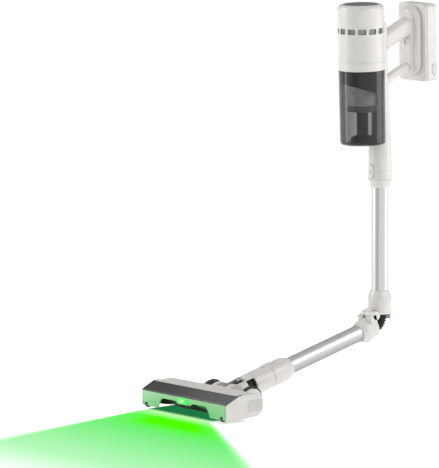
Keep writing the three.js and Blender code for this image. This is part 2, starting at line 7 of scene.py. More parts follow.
import bmesh
import bpy
import json
import math
from mathutils import Matrix, Vector
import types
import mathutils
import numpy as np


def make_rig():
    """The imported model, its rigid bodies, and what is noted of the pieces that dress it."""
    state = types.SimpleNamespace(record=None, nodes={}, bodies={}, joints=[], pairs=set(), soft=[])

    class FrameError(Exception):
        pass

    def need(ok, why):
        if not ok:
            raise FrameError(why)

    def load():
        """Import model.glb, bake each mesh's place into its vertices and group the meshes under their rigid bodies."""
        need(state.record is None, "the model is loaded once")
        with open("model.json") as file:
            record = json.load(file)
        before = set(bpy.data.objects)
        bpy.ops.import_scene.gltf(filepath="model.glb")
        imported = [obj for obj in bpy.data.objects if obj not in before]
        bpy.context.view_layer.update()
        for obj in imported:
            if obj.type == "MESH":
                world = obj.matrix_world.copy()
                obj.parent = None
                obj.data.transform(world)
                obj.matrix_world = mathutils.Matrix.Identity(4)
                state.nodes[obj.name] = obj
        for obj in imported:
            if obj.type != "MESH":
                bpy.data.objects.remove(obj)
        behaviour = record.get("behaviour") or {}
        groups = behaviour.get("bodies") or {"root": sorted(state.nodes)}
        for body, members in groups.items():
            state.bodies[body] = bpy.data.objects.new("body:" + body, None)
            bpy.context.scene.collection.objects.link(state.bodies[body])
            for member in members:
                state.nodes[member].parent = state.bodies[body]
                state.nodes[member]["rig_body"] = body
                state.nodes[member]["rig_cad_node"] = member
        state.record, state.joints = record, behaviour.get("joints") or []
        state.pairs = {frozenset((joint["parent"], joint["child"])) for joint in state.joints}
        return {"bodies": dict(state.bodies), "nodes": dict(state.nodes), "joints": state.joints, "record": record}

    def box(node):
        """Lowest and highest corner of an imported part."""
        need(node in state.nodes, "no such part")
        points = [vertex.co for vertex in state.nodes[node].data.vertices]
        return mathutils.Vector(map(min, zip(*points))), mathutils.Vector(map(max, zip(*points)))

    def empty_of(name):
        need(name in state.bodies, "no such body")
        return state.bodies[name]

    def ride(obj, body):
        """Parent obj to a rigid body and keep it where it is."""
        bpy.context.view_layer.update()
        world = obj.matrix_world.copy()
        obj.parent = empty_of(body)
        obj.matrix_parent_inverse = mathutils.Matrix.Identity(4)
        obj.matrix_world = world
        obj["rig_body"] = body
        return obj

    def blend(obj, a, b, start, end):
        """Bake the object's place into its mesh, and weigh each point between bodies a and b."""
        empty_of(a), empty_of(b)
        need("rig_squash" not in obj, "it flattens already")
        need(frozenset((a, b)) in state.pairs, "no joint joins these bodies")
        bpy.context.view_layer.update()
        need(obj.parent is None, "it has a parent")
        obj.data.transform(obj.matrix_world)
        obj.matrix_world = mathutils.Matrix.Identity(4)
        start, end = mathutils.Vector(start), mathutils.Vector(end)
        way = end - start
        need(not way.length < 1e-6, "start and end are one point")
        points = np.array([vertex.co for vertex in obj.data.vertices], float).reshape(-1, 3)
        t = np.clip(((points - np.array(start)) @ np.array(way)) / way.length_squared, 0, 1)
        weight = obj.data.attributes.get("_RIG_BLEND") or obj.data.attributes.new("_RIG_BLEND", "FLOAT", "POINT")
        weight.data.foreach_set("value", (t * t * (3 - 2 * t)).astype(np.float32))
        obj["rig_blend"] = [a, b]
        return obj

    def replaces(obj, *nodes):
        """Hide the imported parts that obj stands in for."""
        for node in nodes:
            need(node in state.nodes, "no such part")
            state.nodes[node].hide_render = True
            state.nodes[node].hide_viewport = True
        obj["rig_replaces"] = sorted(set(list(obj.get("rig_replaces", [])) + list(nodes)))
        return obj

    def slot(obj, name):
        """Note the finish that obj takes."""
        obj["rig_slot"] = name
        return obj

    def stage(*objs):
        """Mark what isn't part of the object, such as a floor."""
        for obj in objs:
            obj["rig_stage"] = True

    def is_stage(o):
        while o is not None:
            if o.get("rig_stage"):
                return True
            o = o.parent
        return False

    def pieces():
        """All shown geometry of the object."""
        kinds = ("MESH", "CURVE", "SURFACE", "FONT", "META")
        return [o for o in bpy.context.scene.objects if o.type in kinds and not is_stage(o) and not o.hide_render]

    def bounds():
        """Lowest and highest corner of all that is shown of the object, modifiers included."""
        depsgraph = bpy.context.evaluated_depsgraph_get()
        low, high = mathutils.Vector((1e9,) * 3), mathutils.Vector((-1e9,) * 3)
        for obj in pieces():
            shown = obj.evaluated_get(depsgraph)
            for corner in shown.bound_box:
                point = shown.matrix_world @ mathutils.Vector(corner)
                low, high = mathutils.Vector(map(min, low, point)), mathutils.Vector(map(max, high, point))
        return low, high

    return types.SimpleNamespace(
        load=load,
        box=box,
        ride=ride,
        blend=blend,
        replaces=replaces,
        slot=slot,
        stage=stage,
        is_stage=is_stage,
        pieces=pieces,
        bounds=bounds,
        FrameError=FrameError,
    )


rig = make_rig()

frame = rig.load()
size_at_load = [list(corner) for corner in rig.bounds()]
scene = bpy.context.scene
joints = {joint["name"]: joint for joint in frame["joints"]}

# ---- spaces, in millimetres ----
MM = 0.001
AXIS_Y = sum(corner.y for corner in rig.box("upper_tube")) / 2
TO_METRES = Matrix.Scale(MM, 4)
UNIT = Matrix.Translation((0, AXIS_Y, 0)) @ TO_METRES
TILT = math.asin(joints["wand_pull"]["axis"][2])
WAND = (Matrix.Translation(joints["neck_pitch"]["pos_m"])
        @ Matrix.Rotation(TILT, 4, "X") @ TO_METRES)
LEAN_AXIS = Vector(joints["fan_spin"]["axis"]).normalized()
LEAN = math.asin(-LEAN_AXIS.y)
FAN_HEIGHT = 50
LEANED_ORIGIN = (0, -49, 640)
LEANED = (Matrix.Translation(Vector(joints["fan_spin"]["pos_m"]) - FAN_HEIGHT * MM * LEAN_AXIS)
          @ Matrix.Rotation(LEAN, 4, "X") @ TO_METRES)


def box_mm(node):
    """A CAD node's lowest and highest corner in UNIT space."""
    low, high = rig.box(node)
    offset = Vector((0, AXIS_Y, 0))
    return (low - offset) / MM, (high - offset) / MM


# ---- mesh making ----
def mesh_object(name, vertices, faces):
    mesh = bpy.data.meshes.new(name)
    mesh.from_pydata([tuple(v) for v in vertices], [], faces)
    mesh.update()
    made = bpy.data.objects.new(name, mesh)
    scene.collection.objects.link(made)
    return made


def turned(profile, segments=96, axis="Z"):
    """A profile of (radius, height) points, going up on the outside, turned about an axis."""
    vertices, rings = [], []
    for radius, height in profile:
        if radius < 1e-6:
            rings.append([len(vertices)] * segments)
            vertices.append((0, 0, height))
            continue
        rings.append(list(range(len(vertices), len(vertices) + segments)))
        vertices += [(radius * math.cos(2 * math.pi * i / segments),
                      radius * math.sin(2 * math.pi * i / segments), height)
                     for i in range(segments)]
    faces = []
    for low, high in zip(rings, rings[1:]):
        for i in range(segments):
            j = (i + 1) % segments
            quad = [low[i], low[j], high[j], high[i]]
            face = [v for k, v in enumerate(quad) if v not in quad[:k]]
            if len(face) > 2:
                faces.append(face)
    made = mesh_object("turned", vertices, faces)
    turn = {"Z": Matrix(), "X": Matrix.Rotation(math.pi / 2, 4, "Y"),
            "Y": Matrix.Rotation(-math.pi / 2, 4, "X")}[axis]
    made.data.transform(turn)
    return made


def closed_ring(inner, outer, low, high, edge=0.5, segments=96, axis="Z"):
    """A ring with small rounded edges."""
    profile = []
    for radius, height, start in ((outer, low, -90), (outer, high, 0), (inner, high, 90),
                                  (inner, low, 180)):
        out = 1 if radius == outer else -1
        up = 1 if height == high else -1
        for step in range(4):
            a = math.radians(start + 30 * step)
            profile.append((radius - out * edge + edge * math.cos(a),
                            height - up * edge + edge * math.sin(a)))
    return turned(profile + profile[:1], segments, axis)


def disc(radius, low, high, edge=0.5, segments=96, axis="Z"):
    """A disc or rod with small rounded edges."""
    profile = [(0, low)]
    for height, start in ((low + edge, -90), (high - edge, 0)):
        for step in range(5):
            a = math.radians(start + 22.5 * step)
            profile.append((radius - edge + edge * math.cos(a), height + edge * math.sin(a)))
    return turned(profile + [(0, high)], segments, axis)


def skin(rings, capped=True):
    """Rings of points, all with the same count, skinned from the first to the last."""
    count = len(rings[0])
    vertices = [point for one in rings for point in one]
    faces = []
    for i in range(len(rings) - 1):
        for j in range(count):
            a, b = i * count + j, i * count + (j + 1) % count
            faces.append((a, b, b + count, a + count))
    if capped:
        faces.append(tuple(reversed(range(count))))
        faces.append(tuple(range((len(rings) - 1) * count, len(rings) * count)))
    return mesh_object("skin", vertices, faces)


def prism(outline, low, high, along="X"):
    """An outline extruded along an axis; the outline's two numbers are the other two axes."""
    place = {"X": lambda a, b, h: (h, a, b), "Y": lambda a, b, h: (a, h, b),
             "Z": lambda a, b, h: (a, b, h)}[along]
    rings = [[place(a, b, h) for a, b in outline] for h in (low, high)]
    made = skin(rings)
    fix_normals(made)
    return made


def rounded_rectangle(x0, x1, z0, z1, radius, steps=10):
    centres = ((x1 - radius, z1 - radius), (x0 + radius, z1 - radius),
               (x0 + radius, z0 + radius), (x1 - radius, z0 + radius))
    return [(cx + radius * math.cos(math.pi / 2 * (q + i / steps)),
             cz + radius * math.sin(math.pi / 2 * (q + i / steps)))
            for q, (cx, cz) in enumerate(centres) for i in range(steps + 1)]


def block(x0, x1, y0, y1, z0, z1):
    return prism([(x0, y0), (x1, y0), (x1, y1), (x0, y1)], z0, z1, "Z")


def fix_normals(made):
    bm = bmesh.new()
    bm.from_mesh(made.data)
    bmesh.ops.recalc_face_normals(bm, faces=bm.faces)
    bm.to_mesh(made.data)
    bm.free()


def moved(made, matrix):
    made.data.transform(matrix)
    return made


def shifted(made, x=0, y=0, z=0):
    return moved(made, Matrix.Translation((x, y, z)))


def turned_by(made, degrees, axis):
    return moved(made, Matrix.Rotation(math.radians(degrees), 4, axis))


def merged(*parts):
    """Several meshes in one object, without a boolean."""
    bm = bmesh.new()
    for part in parts:
        bm.from_mesh(part.data)
    bm.to_mesh(parts[0].data)
    bm.free()
    for part in parts[1:]:
        bpy.data.objects.remove(part)
    return parts[0]


def bake(made):
    """Applies an object's modifiers to its mesh."""
    bpy.context.view_layer.update()
    graph = bpy.context.evaluated_depsgraph_get()
    mesh = bpy.data.meshes.new_from_object(made.evaluated_get(graph))
    made.modifiers.clear()
    made.data = mesh
    return made


def boolean(made, tools, operation="DIFFERENCE"):
    for tool in tools:
        modifier = made.modifiers.new("boolean", "BOOLEAN")
        modifier.operation, modifier.object, modifier.solver = operation, tool, "EXACT"
        bake(made)
        bpy.data.objects.remove(tool)
    return made


def soften(made, width, segments=3, angle=32):
    """Rounds the edges that are sharper than the angle."""
    modifier = made.modifiers.new("bevel", "BEVEL")
    modifier.width, modifier.segments = width, segments
    modifier.limit_method, modifier.angle_limit = "ANGLE", math.radians(angle)
    modifier.miter_outer = "MITER_ARC"
    return bake(made)


def remeshed(made, voxel, smoothing, keep=0.4):
    """One soft moulded skin over joined shapes, with fillets where they meet."""
    remesh = made.modifiers.new("remesh", "REMESH")
    remesh.mode, remesh.voxel_size = "VOXEL", voxel
    smooth = made.modifiers.new("smooth", "SMOOTH")
    smooth.factor, smooth.iterations = 0.6, smoothing
    fewer = made.modifiers.new("fewer", "DECIMATE")
    fewer.ratio = keep
    return bake(made)


def place(made, name, space, body, slot, material, *nodes, crease=35):
    """Sets a shape in the row frame, shaded, painted, and riding on its body."""
    made.name = made.data.name = name
    made.data.transform(space)
    made.data.shade_smooth()
    made.data.set_sharp_from_angle(angle=math.radians(crease))
    weighted = made.modifiers.new("weighted", "WEIGHTED_NORMAL")
    weighted.keep_sharp = True
    bake(made)
    made.data.materials.clear()
    made.data.materials.append(material)
    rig.ride(made, body)
    if slot:
        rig.slot(made, slot)
    if nodes:
        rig.replaces(made, *nodes)
    return made


# ---- materials ----
def new_material(name):
    material = bpy.data.materials.new(name)
    material.use_nodes = True
    tree = material.node_tree
    tree.nodes.clear()
    output = tree.nodes.new("ShaderNodeOutputMaterial")
    shader = tree.nodes.new("ShaderNodeBsdfPrincipled")
    tree.links.new(shader.outputs[0], output.inputs[0])
    return material, tree, shader


def noise(tree, scale, detail=3.0, stretch=(1, 1, 1), rotation=(0, 0, 0)):
    """Noise in the piece's own coordinates; scale is in cells per metre."""
    where = tree.nodes.new("ShaderNodeTexCoord")
    mapping = tree.nodes.new("ShaderNodeMapping")
    mapping.inputs["Scale"].default_value = stretch
    mapping.inputs["Rotation"].default_value = rotation
    texture = tree.nodes.new("ShaderNodeTexNoise")
    texture.inputs["Scale"].default_value = scale
    texture.inputs["Detail"].default_value = detail
    tree.links.new(where.outputs["Object"], mapping.inputs["Vector"])
    tree.links.new(mapping.outputs[0], texture.inputs["Vector"])
    return texture.outputs["Fac"]


def ramp(tree, value, stops):
    node = tree.nodes.new("ShaderNodeValToRGB")
    elements = node.color_ramp.elements
    while len(elements) < len(stops):
        elements.new(0.5)
    for element, (position, colour) in zip(elements, stops):
        element.position, element.color = position, (*colour, 1)
    tree.links.new(value, node.inputs[0])
    return node.outputs[0]


def spread(tree, value, low, high):
    node = tree.nodes.new("ShaderNodeMapRange")
    node.inputs["To Min"].default_value = low
    node.inputs["To Max"].default_value = high
    tree.links.new(value, node.inputs["Value"])
    return node.outputs[0]


def bump(tree, shader, height, distance, strength=1.0):
    node = tree.nodes.new("ShaderNodeBump")
    node.inputs["Distance"].default_value = distance
    node.inputs["Strength"].default_value = strength
    tree.links.new(height, node.inputs["Height"])
    tree.links.new(node.outputs[0], shader.inputs["Normal"])


def grey(level):
    return (level, level, level)


def tinted(colour, factor):
    return tuple(min(1, c * factor) for c in colour)


def moulded(name, colour, roughness, grain=2600, depth=0.00002, mottle=0.03, coat=0.0):
    """Moulded plastic or rubber: slight mottle, uneven gloss and a fine spark-eroded grain."""
    material, tree, shader = new_material(name)
    broad = noise(tree, 45, 4)
    tree.links.new(ramp(tree, broad, [(0.3, tinted(colour, 1 - mottle)),
                                      (0.7, tinted(colour, 1 + mottle))]),
                   shader.inputs["Base Color"])
    tree.links.new(spread(tree, noise(tree, 160, 5), roughness - 0.05, roughness + 0.05),
                   shader.inputs["Roughness"])
    bump(tree, shader, noise(tree, grain, 2), depth)
    shader.inputs["Coat Weight"].default_value = coat
    shader.inputs["Coat Roughness"].default_value = 0.15
    return material


def metal(name, colour, roughness, stretch, depth=0.00001, rotation=(0, 0, 0)):
    """Drawn or turned metal, with fine lines across the short side of the stretch."""
    material, tree, shader = new_material(name)
    shader.inputs["Metallic"].default_value = 1
    lines = noise(tree, 900, 4, stretch, rotation)
    tree.links.new(ramp(tree, lines, [(0.25, tinted(colour, 0.95)), (0.75, tinted(colour, 1.03))]),
                   shader.inputs["Base Color"])
    tree.links.new(spread(tree, lines, roughness - 0.05, roughness + 0.06),
                   shader.inputs["Roughness"])
    bump(tree, shader, lines, depth)
    return material


def smoked(name, colour, alpha_face, alpha_edge, roughness=0.06):
    """Smoked clear plastic: thin seen square on, denser towards its edges, with faint scuffs."""
    material, tree, shader = new_material(name)
    haze = noise(tree, 60, 5)
    tree.links.new(ramp(tree, haze, [(0.3, colour), (0.75, tinted(colour, 1.35))]),
                   shader.inputs["Base Color"])
    tree.links.new(spread(tree, noise(tree, 700, 6), roughness - 0.02, roughness + 0.05),
                   shader.inputs["Roughness"])
    facing = tree.nodes.new("ShaderNodeLayerWeight")
    facing.inputs["Blend"].default_value = 0.35
    tree.links.new(spread(tree, facing.outputs["Facing"], alpha_face, alpha_edge),
                   shader.inputs["Alpha"])
    shader.inputs["IOR"].default_value = 1.75
    material.surface_render_method = "BLENDED"
    return material


def separate(tree, vector="Object"):
    where = tree.nodes.new("ShaderNodeTexCoord")
    parts = tree.nodes.new("ShaderNodeSeparateXYZ")
    tree.links.new(where.outputs[vector], parts.inputs[0])
    return parts.outputs


def between(tree, value, start, end):
    """0 at start, 1 at end, clamped."""
    node = tree.nodes.new("ShaderNodeMapRange")
    node.interpolation_type = "SMOOTHSTEP"
    node.inputs["From Min"].default_value = start
    node.inputs["From Max"].default_value = end
    tree.links.new(value, node.inputs["Value"])
    return node.outputs[0]


def blended(tree, factor, first, second):
    node = tree.nodes.new("ShaderNodeMix")
    node.data_type = "RGBA"
    tree.links.new(factor, node.inputs["Factor"])
    for socket, value in ((node.inputs[6], first), (node.inputs[7], second)):
        if isinstance(value, tuple):
            socket.default_value = (*value, 1)
        else:
            tree.links.new(value, socket)
    return node.outputs[2]


def product(tree, first, second):
    node = tree.nodes.new("ShaderNodeMath")
    node.operation = "MULTIPLY"
    tree.links.new(first, node.inputs[0])
    tree.links.new(second, node.inputs[1])
    return node.outputs[0]


def base_colour(material):
    """The tree of a material, its base colour's input and what is plugged into it."""
    tree = material.node_tree
    socket = next(n for n in tree.nodes if n.type == "BSDF_PRINCIPLED").inputs["Base Color"]
    return tree, socket, socket.links[0].from_socket


def shell_with_painted_lamp_light(name, colour, front_y, low_z, high_z):
    """White shell whose front wall has the lamp's green light painted into its base colour, stronger lower down."""
    material = moulded(name, colour, 0.38)
    tree, socket, plain = base_colour(material)
    _, y, z = separate(tree)
    # painted lamp light: the front wall's colour turns green, more so lower down
    lit = blended(tree, between(tree, z, low_z, high_z), PAINTED_LAMP_LIGHT_LOW, PAINTED_LAMP_LIGHT_HIGH)
    at_front = between(tree, y, front_y + 1.6 * MM, front_y + 0.4 * MM)
    tree.links.new(blended(tree, at_front, plain, lit), socket)
    return material


def painted_shading_along(name, first, second, x_first, x_second):
    """Smooth dark plastic with painted shading: its tone changes evenly along X."""
    material = moulded(name, first, 0.25, depth=0.000004, coat=0.2)
    tree, socket, plain = base_colour(material)
    along = between(tree, separate(tree)[0], x_first, x_second)
    tree.links.new(blended(tree, along, plain, second), socket)
    return material


SHELL_COLOUR = (0.62, 0.602, 0.578)
# painted lamp light on the head's front wall, lower and higher
PAINTED_LAMP_LIGHT_LOW = (0.24, 0.6, 0.28)
PAINTED_LAMP_LIGHT_HIGH = (0.42, 0.62, 0.42)
# painted shade on the floor beneath the head
PAINTED_SHADE_UNDER_HEAD = (0.012, 0.19, 0.06)
WHITE = moulded("white_plastic", SHELL_COLOUR, 0.3, coat=0.25)
# shell with the lamp's green light painted on its front wall
WHITE_PAINTED_LAMP_LIGHT = shell_with_painted_lamp_light("white_plastic_painted_lamp_light", SHELL_COLOUR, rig.box("head_shell")[0].y, 0.012, 0.038)
SILVER_UP = metal("anodised_tube_upper", (0.74, 0.745, 0.75), 0.24, (9, 9, 0.12))
SILVER_ALONG = metal("anodised_tube_lower", (0.68, 0.68, 0.685), 0.38, (9, 0.12, 9),
                     rotation=(-TILT, 0, 0))
STEEL = metal("turned_steel", (0.55, 0.55, 0.56), 0.3, (0.3, 8, 8))
SMOKE = smoked("smoked_cup", (0.014, 0.014, 0.016), 0.3, 0.95)
SHROUD = smoked("smoked_shroud", (0.62, 0.62, 0.63), 0.85, 0.95, 0.2)
SKIRT = moulded("skirt_plastic", (0.2, 0.2, 0.205), 0.4)
# painted shading: the window is darker towards -X and lighter towards +X
WINDOW = painted_shading_along("smoked_window", (0.006, 0.006, 0.007), (0.075, 0.075, 0.08), -0.1, 0.13)
BLACK = moulded("black_plastic", (0.012, 0.012, 0.0135), 0.42)
PIANO = moulded("display_glass", (0.05, 0.044, 0.05), 0.3, depth=0.000002, coat=0.15)
RUBBER = moulded("black_rubber", (0.017, 0.017, 0.018), 0.62, 3400, 0.00005)
TYRE = moulded("tyre_rubber", (0.014, 0.014, 0.015), 0.5, 3000, 0.00004)
GREY = moulded("grey_plastic", (0.36, 0.36, 0.355), 0.45)
PALE_GREY = moulded("pale_grey_plastic", (0.56, 0.55, 0.54), 0.42)
BRISTLE = moulded("bristle", (0.03, 0.035, 0.03), 0.7, 5200, 0.0003)
BOARD = moulded("circuit_board", (0.02, 0.12, 0.05), 0.35)
WRAP = moulded("cell_wrap", (0.04, 0.16, 0.4), 0.3)
FELT = moulded("filter_felt", (0.62, 0.62, 0.6), 0.9, 1500, 0.0004, 0.06)


def make_lens_material():
    material, tree, shader = new_material("lamp_lens")
    glow = noise(tree, 220, 3)
    colour = ramp(tree, glow, [(0.35, (0.02, 0.72, 0.05)), (0.65, (0.05, 0.88, 0.08))])
    x, _, z = separate(tree)
    core = between(tree, x, -8 * MM, -5 * MM)
    for value, start, end in ((x, 6, 3), (z, 28, 30), (z, 35, 32.5)):
        core = product(tree, core, between(tree, value, start * MM, end * MM))
    colour = blended(tree, core, colour, (0.55, 1.0, 0.5))
    tree.links.new(colour, shader.inputs["Base Color"])
    tree.links.new(colour, shader.inputs["Emission Color"])
    shader.inputs["Emission Strength"].default_value = 0.75
    shader.inputs["Roughness"].default_value = 0.12
    return material


LENS = make_lens_material()


# ---- floor head ----
HEAD_LOW, HEAD_HIGH = box_mm("head_shell")
CAP_OUTER = box_mm("end_cap_left")[1].x
END_INNER = HEAD_HIGH.x
FRONT = HEAD_LOW.y
DRUM_Y, DRUM_Z, DRUM_R = -434, 32, 23
DRUM_ARC = [(DRUM_Y + DRUM_R * math.sin(math.pi * i / 24), DRUM_Z + DRUM_R * math.cos(math.pi * i / 24))
            for i in range(25)]
HEAD_PROFILE = [(FRONT, 8), (FRONT, 40.4), (-479, 53.8), *DRUM_ARC, (-470, 7)]
NECK_Y, NECK_Z, NECK_ROOM = -397, 30.7, 26.5
WHEEL_X, WHEEL_Y, WHEEL_R = 59, -384, 28
WHEEL_WELL_R, WHEEL_WELL_HALF = WHEEL_R + 0.8, 5.9
ROLLER_X, ROLLER_Y, ROLLER_Z = 118, -502, 8.4
BRUSH_Y, BRUSH_Z = -474, 29


def rod(radius, low, high, y, z, edge=0.4, segments=64):
    """A rod along X through (y, z)."""
    return shifted(disc(radius, low, high, edge, segments, "X"), 0, y, z)


def wheel_well(s):
    return rod(WHEEL_WELL_R, s * WHEEL_X - WHEEL_WELL_HALF, s * WHEEL_X + WHEEL_WELL_HALF, WHEEL_Y, WHEEL_R)


def neck_room():
    return rod(NECK_ROOM, -29, 29, NECK_Y, NECK_Z)


def window_seat():
    """The step that the smoked window lies in, across the shell and both caps."""
    return prism([(-508, 37), (-508, 41.4), (-479, 55), (-476, 50.5), (-480, 50)],
                 -CAP_OUTER - 1, CAP_OUTER + 1)


def build_head():
    shell = prism(HEAD_PROFILE, -END_INNER, END_INNER)
    cavity = prism([(-503.5, 2), (-503.5, 37), (-480, 50.5), (DRUM_Y, 51.5), (-421, 42), (-421, 22),
                    (-430, 12.5), (-442.5, 12.5), (-442.5, 2)], 3 - END_INNER, END_INNER - 3)
    notch = prism([(-86, 0), (-80, 14), (-75, 22.5), (-71.5, 26.4), (-66, 28.5), (-26, 28.5), (-22, 26.6),
                   (-19, 23.5), (19, 23.5), (22, 26.6), (26, 28.5), (66, 28.5), (71.5, 26.4),
                   (75, 22.5), (80, 14), (86, 0)], -520, -495, "Y")
    lens_hole = prism(rounded_rectangle(-13.4, 13.4, 25.4, 36.6, 5), -520, -495, "Y")
    roller_wells = [prism(rounded_rectangle(s * ROLLER_X - 5, s * ROLLER_X + 5, -6, 15, 3), -515, -496, "Y")
                    for s in (-1, 1)]
    neck = [block(-27, 27, -424.5, -400, 5, 60), neck_room()]
    wheel_wells = [wheel_well(s) for s in (-1, 1)]
    boolean(shell, [cavity, window_seat(), notch, lens_hole, *roller_wells, *neck, *wheel_wells])
    soften(shell, 0.7)
    place(shell, "shell", UNIT, "floor_head", "white_shell", WHITE_PAINTED_LAMP_LIGHT, "head_shell")

    window = prism([(-507, 38.2), (-507, 40.4), (-479, 53.8), (-476.6, 51), (-480, 50.8)],
                   0.3 - CAP_OUTER, CAP_OUTER - 0.3)
    soften(window, 0.6)
    place(window, "window", UNIT, "floor_head", "smoked_window", WINDOW, "head_window")

    for side, s in (("left", 1), ("right", -1)):
        inner, outer = sorted((s * END_INNER, s * CAP_OUTER))
        cap = prism(HEAD_PROFILE, inner + (0.3 if s > 0 else 0), outer - (0.3 if s < 0 else 0))
        soften(cap, 1.1, 4)
        vents = []
        for row in range(-3, 3):
            for column in range(-3, 3):
                slot = prism(rounded_rectangle(-0.85, 0.85, -1.5, 1.5, 0.8, 3), -3, 3)
                turned_by(slot, 32, "X")
                vents.append(shifted(slot, s * CAP_OUTER, DRUM_Y + 6 * column + 4.5 - 3 * (row % 2),
                                     DRUM_Z + 3.9 * row + 2))
        boolean(cap, [window_seat(), merged(*vents)])
        place(cap, f"side_cap_{side}", UNIT, "floor_head", "white_shell", WHITE_PAINTED_LAMP_LIGHT, f"end_cap_{side}")
        low, high = sorted((s * (CAP_OUTER - 4), s * (CAP_OUTER + 0.1)))
        tail = prism([(-481, 52.9), (-479, 53.9), (-466, 54.7), (-468, 53.6), (-479, 52.4)], low, high)
        place(tail, f"window_trim_{side}", UNIT, "floor_head", "smoked_window", BLACK)
        low, high = sorted((s * (CAP_OUTER - 2.4), s * (CAP_OUTER - 1.6)))
        liner = prism(rounded_rectangle(DRUM_Y - 19, DRUM_Y + 19, DRUM_Z - 13, DRUM_Z + 13, 6), low, high)
        place(liner, f"vent_mesh_{side}", UNIT, "floor_head", "black_plastic", BLACK)

    lens = prism(rounded_rectangle(-13, 13, 25.8, 36.2, 4.8), box_mm("lamp_lens")[0].y, -500, "Y")
    soften(lens, 2.2, 6)
    place(lens, "lamp", UNIT, "floor_head", "lamp_green", LENS, "lamp_lens")


def build_brush():
    """Core with six twisted strips of bristle."""
    core = disc(10, -112, 112, 1, 48, "X")
    strips = []
    steps, turn = 48, math.radians(150)
    for k in range(6):
        rings = []
        for i in range(steps + 1):
            x = -110 + 220 * i / steps
            a = k * math.pi / 3 + turn * abs(i / steps - 0.5)
            cos, sin = math.cos(a), math.sin(a)
            rings.append([(x, r * cos - w * sin, r * sin + w * cos)
                          for r, w in ((8, -1.9), (14, -1.7), (19.6, -1.2), (19.6, 1.2), (14, 1.7),
                                       (8, 1.9))])
        strip = skin(rings)
        fix_normals(strip)
        strips.append(strip)
    roll = shifted(merged(core, *strips), 0, BRUSH_Y, BRUSH_Z)
    place(roll, "brush", UNIT, "brush", "black_plastic", BRISTLE, "brush_roll")


def build_wheels():
    for side, s in (("left", 1), ("right", -1)):
        tyre = turned([(18, -4.2), (23, -5), (25.6, -4.8), (27.4, -3.5), (28, -1.8), (28, -0.4),
                       (27.5, -0.2), (27.5, 0.2), (28, 0.4), (28, 1.8), (27.4, 3.5), (25.6, 4.8),
                       (23, 5), (18, 4.2), (18, -4.2)], 96, "X")
        place(shifted(tyre, s * WHEEL_X, WHEEL_Y, WHEEL_R), f"tyre_{side}", UNIT, f"wheel_{side}",
              "black_rubber", TYRE, f"rear_wheel_{side}", crease=50)
        hub = turned([(4.5, -4.6), (8, -4.8), (9, -3.4), (15, -3), (16.6, -4), (17.8, -4.2), (17.8, 4.2),
                      (16.6, 4), (15, 3), (9, 3.4), (8, 4.8), (4.5, 4.6), (4.5, -4.6)], 72, "X")
        place(shifted(hub, s * WHEEL_X, WHEEL_Y, WHEEL_R), f"wheel_hub_{side}", UNIT, f"wheel_{side}",
              "grey_plastic", BLACK, crease=50)
        roller = turned([(0, -4), (3.6, -4), (4.4, -3.4), (4.6, -2), (4.6, -0.4), (4.1, 0), (4.6, 0.4),
                         (4.6, 2), (4.4, 3.4), (3.6, 4), (0, 4)], 48, "X")
        place(shifted(roller, s * ROLLER_X, ROLLER_Y, ROLLER_Z), f"roller_{side}_tread", UNIT,
              f"roller_{side}", "grey_plastic", BLACK, f"front_roller_{side}", crease=50)


def build_carriages():
    outline = [(-405, 14), (-405, 43), (-398, 49.5), (-388, 52.5), (-378, 50.5), (-370, 44.5), (-364, 34),
               (-366, 22), (-374, 12), (-386, 8.5), (-398, 9)]
    for side, s in (("left", 1), ("right", -1)):
        def across(a, b):
            return sorted((s * a, s * b))
        frame_part = prism(outline, *across(65.3, 71))
        pieces = [rod(20.5, *across(47, 53.2), WHEEL_Y, WHEEL_R, 0.1, 96),
                  block(*across(28, 36), -412, -388, 14, 42), block(*across(30, 70), -416, -400, 9, 36)]
        boolean(frame_part, pieces, "UNION")
        drum = prism([(y + 0.4, z) for y, z in HEAD_PROFILE], -150, 150)
        pin_bore = rod(4.4, *across(0, 36), NECK_Y, NECK_Z, 0.1, 32)
        boolean(frame_part, [drum, neck_room(), pin_bore, wheel_well(s)])
        soften(frame_part, 1.2, 4)
        axle = rod(4, *across(47.5, 70.5), WHEEL_Y, WHEEL_R, 0.4, 32)
        boolean(frame_part, [axle], "UNION")
        place(frame_part, f"wheel_carriage_{side}", UNIT, "floor_head", "white_shell", WHITE,
              f"rear_carriage_{side}")


# ---- neck and lower wand, in WAND space with +Y up along the tube ----
NECK_R, YOKE_END, SEAM, COLLAR_R = 24, 62, 109.5, 23.5
KNUCKLE_R = 9.2
HINGE_S, HINGE_OFF = 392.5, 25
TUBE_R = (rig.box("upper_tube")[1].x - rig.box("upper_tube")[0].x) / 2 / MM


